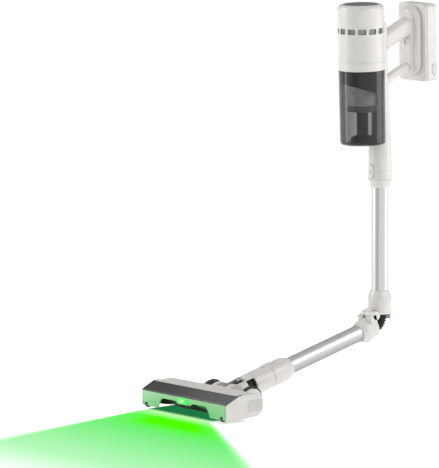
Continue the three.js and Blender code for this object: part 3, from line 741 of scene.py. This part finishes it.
def build_neck():
    yoke = disc(25.5, -28, 28, 1.2, 96, "X")
    boolean(yoke, [disc(NECK_R, 0, YOKE_END, 0.5, 96, "Y"), disc(4, -35, 35, 0.4, 32, "X")], "UNION")
    boolean(yoke, [disc(18.8, -8, YOKE_END + 1, 0.1, 96, "Y"), block(-15, 15, -8, 40, 6, 40),
                   block(-40, 40, 41, YOKE_END + 1, -3, 17), block(-18, 18, -40, 0, -14, 16)])
    soften(yoke, 1.3, 4)
    place(yoke, "yoke", WAND, "neck_base", "white_shell", WHITE, "neck_yoke")

    ribs = [(15.5, -4)]
    for i in range(13):
        s = -3 + 5 * i
        ribs += [(16.6, s), (17.9, s + 0.8), (17.9, s + 2), (16.6, s + 2.8)]
    hose = turned([*ribs, (16.6, 61), (15.5, 61), (15.5, -4)], 72, "Y")
    place(hose, "neck_bellows", WAND, "neck_base", "black_rubber", RUBBER, "neck_hose", crease=50)

    sleeve = closed_ring(18.8, NECK_R, YOKE_END + 0.3, SEAM - 0.3, 0.6, 96, "Y")
    tongue = closed_ring(18.8, NECK_R, SEAM - 3, 127, 0.6, 96, "Y")
    boolean(tongue, [block(-9, 9, 100, 130, 10, 30)], "INTERSECT")
    boolean(sleeve, [tongue], "UNION")
    recess = prism(rounded_rectangle(-6.8, 6.8, 96.4, 123.6, 3.4), 15, 30, "Z")
    boolean(sleeve, [recess])
    soften(sleeve, 0.6)
    place(sleeve, "neck_sleeve", WAND, "neck", "white_shell", WHITE, "neck_tube")
    button = prism(rounded_rectangle(-6.2, 6.2, 97, 123, 3), 20.8, 25.2, "Z")
    ridge = prism(rounded_rectangle(-3, 3, 101, 119, 2.6), 25, 26.4, "Z")
    boolean(button, [ridge], "UNION")
    soften(button, 0.7)
    place(button, "head_button", WAND, "head_button", "white_shell", WHITE, "head_release_button")

    collar = turned([(15.5, 84), (18.4, 84), (18.4, SEAM + 0.4), (NECK_R - 0.6, SEAM + 0.4),
                     (NECK_R, SEAM + 1), (NECK_R, 149), (NECK_R - 0.3, 150.4), (19.2, 163),
                     (18.6, 163.8), (17.9, 164), (17.3, 163.6), (17.3, 130), (15.5, 130), (15.5, 84)],
                    96, "Y")
    slot = closed_ring(18.5, 30, SEAM - 1, 127.3, 0.1, 96, "Y")
    boolean(slot, [block(-9.3, 9.3, 100, 130, 10, 40)], "INTERSECT")
    boolean(collar, [slot])
    place(collar, "wand_collar", WAND, "lower_wand", "white_shell", WHITE, "lower_collar")
    tube = closed_ring(TUBE_R - 1.2, TUBE_R, 130.4, 374.6, 0.3, 96, "Y")
    place(tube, "tube_lower", WAND, "lower_wand", "silver_tube", SILVER_ALONG, "lower_tube")


def hinge_rod(radius, low, high, y, z, edge=0.8):
    return rod(radius, low, high, y, z, edge, 64)


def build_elbow():
    mouth = HINGE_S - 1
    collar = turned([(17.3, 353), (18.6, 353), (19.2, 353.6), (22.9, 362.2), (COLLAR_R, 364),
                     (COLLAR_R, mouth - 1), (COLLAR_R - 1, mouth), (16.4, mouth), (16.4, 375),
                     (17.3, 375), (17.3, 353)], 96, "Y")
    knuckles = [hinge_rod(KNUCKLE_R, a, b, HINGE_S, HINGE_OFF) for a, b in ((-20.5, -8), (8, 20.5))]
    webs = [block(x - 6.25, x + 6.25, 376, mouth, 5, 28) for x in (-14.25, 14.25)]
    boolean(collar, [*knuckles, *webs], "UNION")
    lip_room = closed_ring(20.6, 30, 377, 400, 0.1, 96, "Y")
    boolean(lip_room, [block(-17.5, 17.5, 370, 410, -40, -8)], "INTERSECT")
    boolean(collar, [disc(16.4, 340, 400, 0.1, 96, "Y"),
                     hinge_rod(KNUCKLE_R + 0.8, -8.2, 8.2, HINGE_S, HINGE_OFF, 0.1),
                     hinge_rod(2.8, -18.4, 18.4, HINGE_S, HINGE_OFF, 0.1),
                     lip_room, block(-5.4, 5.4, 365.5, 376, -30, -17.5)])
    soften(collar, 0.8, 3)
    place(collar, "elbow_socket", WAND, "lower_wand", "white_shell", WHITE, "elbow_lower")
    button = prism(rounded_rectangle(-5, 5, 366, 375.5, 2), -25.2, -19.4, "Z")
    soften(button, 0.6)
    place(button, "elbow_button", WAND, "elbow_button", "grey_plastic", PALE_GREY, "elbow_lock_button")

    hinge = joints["elbow_fold"]["pos_m"]
    y, z = (hinge[1] - AXIS_Y) / MM, hinge[2] / MM
    upper = turned([(16.4, z + 1), (COLLAR_R - 1, z + 1), (COLLAR_R, z + 2), (COLLAR_R, 194.4),
                    (22.9, 196), (19.4, 206), (18.6, 207), (17.3, 207), (17.3, 172), (16.4, 172),
                    (16.4, z + 1)])
    tab = closed_ring(21, COLLAR_R, 147, z + 3)
    boolean(tab, [block(-16, 16, 5, 30, 140, 170)], "INTERSECT")
    lug = hinge_rod(KNUCKLE_R, -7.7, 7.7, y, z)
    boolean(upper, [tab, lug, block(-7.7, 7.7, y - 6, -16.6, z, 172)], "UNION")
    seam = closed_ring(COLLAR_R - 0.5, 30, 190.6, 191.2, 0.1)
    boolean(upper, [disc(16.4, 140, 180, 0.1), hinge_rod(KNUCKLE_R + 0.8, -26, -7.75, y, z, 0.1),
                    hinge_rod(KNUCKLE_R + 0.8, 7.75, 26, y, z, 0.1),
                    hinge_rod(2.8, -30, 30, y, z, 0.1), seam])
    soften(upper, 0.8, 3)
    place(upper, "elbow_cap", UNIT, "upper_wand", "white_shell", WHITE, "elbow_upper")
    pin = hinge_rod(2.5, -18.2, 18.2, y, z, 0.5)
    place(pin, "elbow_pin", UNIT, "upper_wand", "steel", STEEL, "hinge_pin")
    tube = closed_ring(TUBE_R - 1.2, TUBE_R, 172.4, 455, 0.3)
    place(tube, "tube_upper", UNIT, "upper_wand", "silver_tube", SILVER_UP, "upper_tube")

    build_bellows(y, z)


def build_bellows(y, z):
    """The elbow's corrugated hose, an arc about the hinge at (y, z).

    The blend names the upper wand first: with the bodies the other way round, rounding in the
    all_min pose throws the hose far off.
    """
    rings = []
    folds, per_fold, around = 8, 8, 64
    for i in range(folds * per_fold + 1):
        a = i / (folds * per_fold) * (math.pi / 2 - TILT)
        wave = 0.5 - 0.5 * math.cos(2 * math.pi * i / per_fold)
        radius = 12.9 + 2.7 * wave
        centre = Vector((0, y + HINGE_OFF * math.cos(a), z - HINGE_OFF * math.sin(a)))
        outward = Vector((0, math.cos(a), -math.sin(a)))
        rings.append([centre + radius * (Vector((math.cos(b), 0, 0)) + math.sin(b) * outward)
                      for b in (2 * math.pi * k / around for k in range(around))])
    bellows = skin(rings, capped=False)
    fix_normals(bellows)
    start, end = [UNIT @ (sum(ring, Vector()) / around) for ring in (rings[0], rings[-1])]
    made = place_blended(bellows, "elbow_bellows", RUBBER, "upper_wand", "lower_wand", start, end)
    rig.slot(made, "black_rubber")
    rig.replaces(made, "elbow_hose")


def place_blended(made, name, material, first, second, start, end):
    made.name = made.data.name = name
    thick = made.modifiers.new("wall", "SOLIDIFY")
    thick.thickness, thick.offset = 0.8, -1
    bake(made)
    made.data.transform(UNIT)
    made.data.shade_smooth()
    made.data.materials.clear()
    made.data.materials.append(material)
    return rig.blend(made, first, second, start=start, end=end)


# ---- handheld unit ----
BODY_R, JOINT_Z, CUP_BOTTOM, BODY_TOP = 46.5, 17, -133, 149
VENTS, VENT_TURN, FINS = 13, 52.6, 72
SPINE = [(433, 0, 24), (487, 0, 23), (560, -1.5, 20.5), (640, -3.8, 17.3), (700, -4, 17), (742, -5, 16.6),
         (750, -6.6, 14.3), (754, -8, 10.6), (756, -9, 7)]


def leaned(made):
    """From LEANED space into UNIT space."""
    return moved(made, Matrix.Translation(LEANED_ORIGIN) @ Matrix.Rotation(LEAN, 4, "X"))


def build_spine():
    around = 96
    rings = [[(r * math.cos(2 * math.pi * k / around), y + r * math.sin(2 * math.pi * k / around), z)
              for k in range(around)] for z, y, r in SPINE]
    spine = skin(rings)
    fix_normals(spine)
    seam = closed_ring(SPINE[0][2] - 1.1, 30, 449.6, 450.4, 0.1)
    boolean(spine, [leaned(disc(BODY_R + 0.5, CUP_BOTTOM - 0.5, 170, 0.2, 128)),
                    disc(TUBE_R + 0.3, 400, 456.2), disc(15, 455, 472.5), seam])
    recess = prism(rounded_rectangle(-6.8, 6.8, 434.5, 464, 6.5), -30, -16, "Y")
    boolean(spine, [recess])
    soften(spine, 0.5, 3, 40)
    place(spine, "spine", UNIT, "handheld", "white_shell", WHITE, "spine_duct")
    nose = turned([(17.3, 416), (18.3, 416), (18.9, 416.6), (23.4, 431), (24, 432.6), (17.3, 432.6),
                   (17.3, 416)])
    place(nose, "socket_ring", UNIT, "handheld", "white_shell", WHITE, "socket_nose")
    button = prism(rounded_rectangle(-6.3, 6.3, 435.2, 463.2, 6.2, 16), -30, -19.4, "Y")
    boolean(button, [disc(24.8, 430, 470)], "INTERSECT")
    dimple = shifted(disc(3, -2, 2, 0.3, 48, "Y"), 0, -25.6, 449.2)
    boolean(button, [dimple])
    soften(button, 0.5)
    place(button, "wand_button", UNIT, "wand_button", "white_shell", WHITE, "wand_release_button")


def arm(stations, around=48, steps=6):
    """An arm of oval section through (y, z, half_x, half_up) stations."""
    smooth = []
    for a, b in zip(stations, stations[1:]):
        smooth += [tuple(p + (q - p) * i / steps for p, q in zip(a, b)) for i in range(steps)]
    smooth.append(stations[-1])
    rings = []
    for i, (y, z, half_x, half_up) in enumerate(smooth):
        before, after = smooth[max(0, i - 1)], smooth[min(len(smooth) - 1, i + 1)]
        length = math.hypot(after[0] - before[0], after[1] - before[1])
        dy, dz = (after[0] - before[0]) / length, (after[1] - before[1]) / length
        rings.append([(-half_x * math.cos(t), y - half_up * math.sin(t) * dz,
                       z + half_up * math.sin(t) * dy)
                      for t in (2 * math.pi * k / around for k in range(around))])
    made = skin(rings)
    fix_normals(made)
    return made


def build_handle():
    grip = arm([(-6, 703, 15, 17), (14, 713, 15.5, 18.5), (34, 723, 16, 18.5), (52, 731.5, 16, 19),
                (68, 736.5, 16, 20), (76, 738, 16, 20.5)])
    brace = arm([(2, 622, 8.5, 13), (14, 629, 8.5, 10.5), (30, 639, 8.5, 9), (48, 648, 8.5, 9),
                 (66, 654, 9, 9.5), (80, 657, 9.5, 11)])
    bar = leaned(soften(prism(rounded_rectangle(-16, 16, -1, 131, 14), 118, 127, "Y"), 4, 4))
    flange = leaned(soften(prism(rounded_rectangle(-29, 29, -6, 136, 27, 20), 124, 144, "Y"), 6, 5))
    body = leaned(block(-15, 15, 118, 127, 20, 115))
    boolean(grip, [brace, bar, flange, body], "UNION")
    remeshed(grip, 1.1, 10)
    rings = [[((r + 0.3) * math.cos(2 * math.pi * k / 72), y + (r + 0.3) * math.sin(2 * math.pi * k / 72), z)
              for k in range(72)] for z, y, r in SPINE[:-1]]
    room = skin(rings)
    fix_normals(room)
    well = block(-5.4, 5.4, 55, 69.4, 700, 722)
    beyond = leaned(block(-50, 50, 134.2, 160, -30, 160))
    boolean(grip, [room, leaned(disc(BODY_R + 1, -10, 170, 0.2, 96)), well, beyond])
    place(grip, "handle_loop", UNIT, "handheld", "white_shell", WHITE, "handle")
    trigger = prism([(56, 720), (68.8, 720), (68.8, 713), (64, 711), (58, 711.5)], -4.9, 4.9)
    soften(trigger, 1)
    place(trigger, "trigger_key", UNIT, "trigger", "grey_plastic", PALE_GREY, "power_trigger")


def build_motor_housing():
    r = BODY_R
    corner = [(r - 8.6 + 8.6 * math.cos(math.pi / 2 * i / 10), 138.6 + 9.9 * math.sin(math.pi / 2 * i / 10))
              for i in range(11)]
    groove = [(r, 34.4), (r - 0.5, 34.6), (r - 0.5, 35.2), (r, 35.4)]
    profile = [(r - 2.4, JOINT_Z), (r - 0.4, JOINT_Z), (r, JOINT_Z + 0.4), *groove, *corner,
               (36.9, BODY_TOP), (36.2, 148.8), (36.2, 146), (33, 146), (33, 144.6), (r - 7, 143.5),
               (r - 2.4, 137), (r - 2.4, JOINT_Z)]
    shell = turned(profile, 144)
    slots = []
    for i in range(VENTS):
        slot = prism(rounded_rectangle(-8.2, 8.2, 91.5, 102.5, 1.6, 5), -r - 5, -r + 6, "Y")
        slots.append(turned_by(slot, VENT_TURN + 360 * i / VENTS, "Z"))
    boolean(shell, [merged(*slots)])
    soften(shell, 0.35, 2, 40)
    place(shell, "housing", LEANED, "handheld", "white_shell", WHITE, "motor_housing")
    lens = turned([(0, 146.3), (35.4, 146.3), (35.8, 146.7), (35.8, 148.5), (35.4, 148.9), (34.6, BODY_TOP),
                   (33, 148.9), (32.4, 148.6), (0, 148.6)], 128)
    place(lens, "display", LEANED, "handheld", "black_plastic", PIANO, "display_lens")
    fins = [turned_by(block(-0.5, 0.5, -43.6, -41.2, 89, 105), 360 * i / FINS, "Z") for i in range(FINS)]
    grille = merged(closed_ring(r - 4.9, r - 4.2, 89, 105, 0.2, 144), *fins)
    place(grille, "grille", LEANED, "handheld", "grey_plastic", GREY, "exhaust_grille")


def build_cup():
    top = JOINT_Z - 0.3
    wall = [(0, CUP_BOTTOM), (40.4, CUP_BOTTOM), (43, CUP_BOTTOM + 0.7), (44.7, CUP_BOTTOM + 2.2),
            (45.4, CUP_BOTTOM + 4.2), (45.6, CUP_BOTTOM + 6.5), (BODY_R, top - 0.4), (BODY_R - 0.4, top),
            (BODY_R - 2.2, top), (43.4, CUP_BOTTOM + 8), (42.4, CUP_BOTTOM + 4.6), (40, CUP_BOTTOM + 2.6),
            (0, CUP_BOTTOM + 2.6)]
    place(turned(wall, 144), "cup", LEANED, "cup", "smoked_clear", SMOKE, "dust_cup")
    r = box_mm("cyclone_cover")[1].x
    cover = turned([(28.2, -52), (r - 0.6, -52), (r, 15.1), (r - 0.4, 15.5), (28.2, 15.5), (28.2, -52)], 144)
    slant = block(-80, 80, -80, 80, -100, 0)
    moved(slant, Matrix.Translation((0, 0, -21.7)) @ Matrix.Rotation(0.115, 4, "Y")
          @ Matrix.Rotation(-0.272, 4, "X"))
    boolean(cover, [slant])
    soften(cover, 0.5)
    place(cover, "cyclone_hood", LEANED, "cup", "black_plastic", BLACK, "cyclone_cover")
    r = box_mm("cyclone_shroud")[1].x
    shroud = turned([(r - 2.6, -54), (r - 0.2, -54), (r, -53.4), (r, 9.6), (r - 0.4, 10), (r - 2.6, 10),
                     (r - 2.6, -54)], 96)
    place(shroud, "shroud", LEANED, "cup", "smoked_clear", SHROUD, "cyclone_shroud")
    place(closed_ring(r - 1, r + 0.5, -54, -52.6), "shroud_rim", LEANED, "cup", "smoked_clear", FELT)
    r = box_mm("cyclone_skirt")[1].x
    skirt = turned([(r - 5.3, -66), (r - 0.7, -66), (r, -65.2), (r - 0.4, -64), (r - 4, -55),
                    (r - 4.6, -54.4), (25, -54.4), (25, -57), (r - 5.3, -66)], 96)
    place(skirt, "skirt", LEANED, "cup", "black_plastic", SKIRT, "cyclone_skirt")
    base = box_mm("cyclone_cone")[1].x
    cone = turned([(0, -129.6), (base - 1, -129.6), (base, -128.6), (base, -121), (base - 1.2, -119.4),
                   (13, -115.4), (11.5, -113), (11.5, -70), (17, -30), (17, 4), (14.6, 4), (14.6, -30),
                   (9, -70), (9, -127), (0, -127)], 96)
    place(cone, "cone", LEANED, "cup", "black_plastic", BLACK, "cyclone_cone")


def build_battery():
    half, front, back, low, high = 41, 134.5, 166.5, -17, 139
    case = prism(rounded_rectangle(-half, half, low, high, 9, 12), front + 4.2, back, "Y")
    soften(case, 4.5, 6)
    hollow = prism(rounded_rectangle(2.4 - half, half - 2.4, low + 2.4, high - 2.4, 7), front - 5,
                   back - 2.4, "Y")
    ports = [prism(rounded_rectangle(150.4, 163.6, -5, 18, 6.4), s * half - 4, s * half + 4) for s in (-1, 1)]
    boolean(case, [hollow, *ports])
    soften(case, 0.3, 2, 60)
    place(case, "battery_shell", LEANED, "battery", "white_shell", WHITE, "battery_case")
    face = prism(rounded_rectangle(-half, half, low, high, 9, 12), front, front + 3.9, "Y")
    soften(face, 1.5, 5)
    place(face, "battery_face", LEANED, "battery", "white_shell", WHITE, "battery_front")
    for side, s in (("left", 1), ("right", -1)):
        low_x, high_x = sorted((s * (half - 1.8), s * (half + 1)))
        catch = prism(rounded_rectangle(150.8, 163.2, -4.6, 17.6, 6, 12), low_x, high_x)
        soften(catch, 0.8, 4)
        place(catch, f"catch_{side}", LEANED, f"battery_catch_{side}", "grey_plastic", PALE_GREY,
              f"battery_button_{side}")


INNER_FINISH = {
    "lamp_board": BOARD, "display_board": BOARD, "battery_board": BOARD, "sole_wiper": RUBBER,
    "brush_bearing_left": STEEL, "brush_bearing_right": STEEL, "brush_motor": STEEL,
    "drive_belt": RUBBER, "brush_pulley": GREY, "motor_pulley": GREY, "exhaust_filter": FELT,
    "pre_filter": FELT, "fan_motor": STEEL, "motor_seal": RUBBER, "fan_impeller": GREY,
    "cell_row_upper": WRAP, "cell_row_lower": WRAP,
}


def paint_inner_nodes():
    """The CAD nodes inside the shells keep their own shape."""
    for node, material in INNER_FINISH.items():
        carried = frame["nodes"][node]
        carried.data.materials.clear()
        carried.data.materials.append(material)


# ---- floor, light and camera ----
CAMERA_BACK = Vector((0.7703, -0.6241, 0.1312)).normalized()
CAMERA_TARGET = Vector((-0.1903, -0.2616, 0.3229))
CAMERA_DISTANCE = 12.033
CAMERA_LENS = 460.0


def build_stage():
    floor = mesh_object("floor", [(-40, -40, 0), (40, -40, 0), (40, 40, 0), (-40, 40, 0)], [(0, 1, 2, 3)])
    floor.data.transform(Matrix.Translation((0, 0, -0.0005)))
    material, tree, shader = new_material("floor_paper")
    paper = ramp(tree, noise(tree, 3, 3), [(0.3, grey(0.95)), (0.7, grey(0.97))])
    tree.links.new(paper, shader.inputs["Base Color"])
    tree.links.new(paper, shader.inputs["Emission Color"])
    shader.inputs["Emission Strength"].default_value = 0.58
    shader.inputs["Roughness"].default_value = 0.9
    shader.inputs["Specular IOR Level"].default_value = 0.0
    floor.data.materials.append(material)
    floor.visible_glossy = False
    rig.stage(floor)
    beam = build_beam()
    beam.visible_glossy = False
    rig.stage(beam)


BEAM_START, BEAM_REACH = -0.095, 0.75
BEAM_ROWS, BEAM_COLUMNS = 60, 48


def build_beam():
    """The lamp's green light on the floor, painted as a thin glowing fan in front of the head, with painted dark green
    shade beneath the head.
    """
    y0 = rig.box("head_shell")[0].y
    rings = []
    for i in range(BEAM_ROWS + 1):
        reach = BEAM_START + (BEAM_REACH - BEAM_START) * i / BEAM_ROWS
        left = 0.2 * max(0, reach) - 0.125 + 0.1 * min(0, reach)
        right = 0.095 + 1.78 * max(0, reach)
        rings.append([(left + (right - left) * k / BEAM_COLUMNS, y0 - reach, 0.0001)
                      for k in range(BEAM_COLUMNS + 1)])
    beam = skin(rings, capped=False)
    beam.name = beam.data.name = "lamp_light_on_floor"
    layer = beam.data.attributes.new("fan", "FLOAT_VECTOR", "POINT")
    for i, ring in enumerate(rings):
        for k in range(len(ring)):
            layer.data[i * len(ring) + k].vector = (i / BEAM_ROWS, k / BEAM_COLUMNS, 0)
    material = bpy.data.materials.new("lamp_light")
    material.use_nodes = True
    tree = material.node_tree
    tree.nodes.clear()
    output = tree.nodes.new("ShaderNodeOutputMaterial")
    attribute = tree.nodes.new("ShaderNodeAttribute")
    attribute.attribute_name = "fan"
    parts = tree.nodes.new("ShaderNodeSeparateXYZ")
    tree.links.new(attribute.outputs["Vector"], parts.inputs[0])
    along, across = parts.outputs[0], parts.outputs[1]
    front = -BEAM_START / (BEAM_REACH - BEAM_START)
    # painted shade: dark green on the floor beneath the head, behind its front
    shade = [(0.0, PAINTED_SHADE_UNDER_HEAD), (front - 0.02, PAINTED_SHADE_UNDER_HEAD)]
    fading = [(front + 0.2, (0.17, 0.87, 0.19)), (front + 0.55, (0.42, 0.9, 0.45)), (1.0, (0.75, 0.95, 0.77))]
    # painted pool of light: bright green at the head's front, fading further out
    middle = ramp(tree, along, [*shade, (front, (0.5, 1.0, 0.42)), (front + 0.018, (0.42, 1.0, 0.3)),
                                (front + 0.05, (0.08, 1.0, 0.0)), (front + 0.11, (0.08, 1.0, 0.0)), *fading])
    side = ramp(tree, along, [*shade, (front, (0.45, 1.0, 0.4)), (front + 0.06, (0.15, 0.95, 0.12)), *fading])
    centred = product(tree, between(tree, across, 0.0, 0.32), between(tree, across, 1.0, 0.7))
    colour = blended(tree, centred, side, middle)
    glow = tree.nodes.new("ShaderNodeEmission")
    tree.links.new(colour, glow.inputs["Color"])
    clear = tree.nodes.new("ShaderNodeBsdfTransparent")
    sides = product(tree, between(tree, across, 0.0, 0.05), between(tree, across, 1.0, 0.86))
    strength = ramp(tree, along, [(0.0, grey(1)), (front + 0.1, grey(1)), (0.65, grey(0.8)),
                                  (1.0, grey(0.0))])
    mixed = tree.nodes.new("ShaderNodeMixShader")
    tree.links.new(product(tree, sides, strength), mixed.inputs[0])
    tree.links.new(clear.outputs[0], mixed.inputs[1])
    tree.links.new(glow.outputs[0], mixed.inputs[2])
    tree.links.new(mixed.outputs[0], output.inputs[0])
    beam.data.materials.append(material)
    return beam


def area_light(name, position, target, size, power, colour=(1, 1, 1)):
    data = bpy.data.lights.new(name, "AREA")
    data.shape = "RECTANGLE"
    data.size, data.size_y = size
    data.energy = power
    data.color = colour
    light = bpy.data.objects.new(name, data)
    scene.collection.objects.link(light)
    light.location = position
    light.rotation_euler = (Vector(target) - Vector(position)).to_track_quat("-Z", "Y").to_euler()
    return light


def from_azimuth(degrees, distance, height):
    """A point round the vacuum; azimuth 0 is in front of it and 90 on its left."""
    a = math.radians(degrees)
    return (distance * math.sin(a), -distance * math.cos(a), height)


def build_light():
    """Soft studio light. The world's darker gap gives the tubes their thin dark line."""
    world = bpy.data.worlds.new("studio")
    scene.world = world
    world.use_nodes = True
    tree = world.node_tree
    x, y, height = separate(tree, "Generated")
    sky = ramp(tree, between(tree, height, -1.0, 1.0),
               [(0.0, grey(0.6)), (0.42, grey(1.05)), (0.5, grey(0.5)), (0.6, grey(0.3)), (1.0, grey(0.5))])
    gap = product(tree, between(tree, x, -0.25, 0.2), between(tree, x, 0.75, 0.3))
    gap = product(tree, gap, between(tree, y, -0.5, -0.9))
    sky = blended(tree, gap, sky, grey(0.5))
    tree.links.new(sky, tree.nodes["Background"].inputs["Color"])
    tree.nodes["Background"].inputs["Strength"].default_value = 1.0
    middle = (0, 0, 0.45)
    area_light("left_strip", from_azimuth(-41, 1.8, 1.0), (0, 0, 1.0), (0.5, 2.0), 6)
    area_light("right_strip", from_azimuth(148, 1.8, 1.0), (0, 0, 1.0), (1.0, 2.0), 9)
    area_light("left_key", from_azimuth(-52, 2.4, 1.7), middle, (1.4, 1.8), 32)
    area_light("right_key", from_azimuth(112, 2.4, 1.7), middle, (1.4, 1.8), 24)
    area_light("overhead", (0.3, -0.3, 3.2), middle, (2.2, 2.2), 8)
    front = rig.box("head_shell")[0].y
    area_light("lamp_inside", (0, front + 0.012, 0.034), (0, front + 0.04, 0.0), (0.11, 0.006), 0.03,
               (0.05, 1, 0.12))


def build_camera():
    data = bpy.data.cameras.new("camera")
    data.lens, data.sensor_width = CAMERA_LENS, 36
    data.clip_start, data.clip_end = 0.1, 200
    camera = bpy.data.objects.new("camera", data)
    scene.collection.objects.link(camera)
    target = CAMERA_TARGET + Vector((0, AXIS_Y, 0))
    camera.location = target + CAMERA_DISTANCE * CAMERA_BACK
    camera.rotation_euler = CAMERA_BACK.to_track_quat("Z", "Y").to_euler()
    scene.camera = camera


build_head()
build_brush()
build_wheels()
build_carriages()
build_neck()
build_elbow()
build_spine()
build_handle()
build_motor_housing()
build_cup()
build_battery()
paint_inner_nodes()
build_stage()
build_light()
build_camera()
scene.view_settings.view_transform = "Standard"

size_at_end = [list(corner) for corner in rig.bounds()]
json.dump({"at_load": size_at_load, "at_end": size_at_end}, open("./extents.json", "w"))
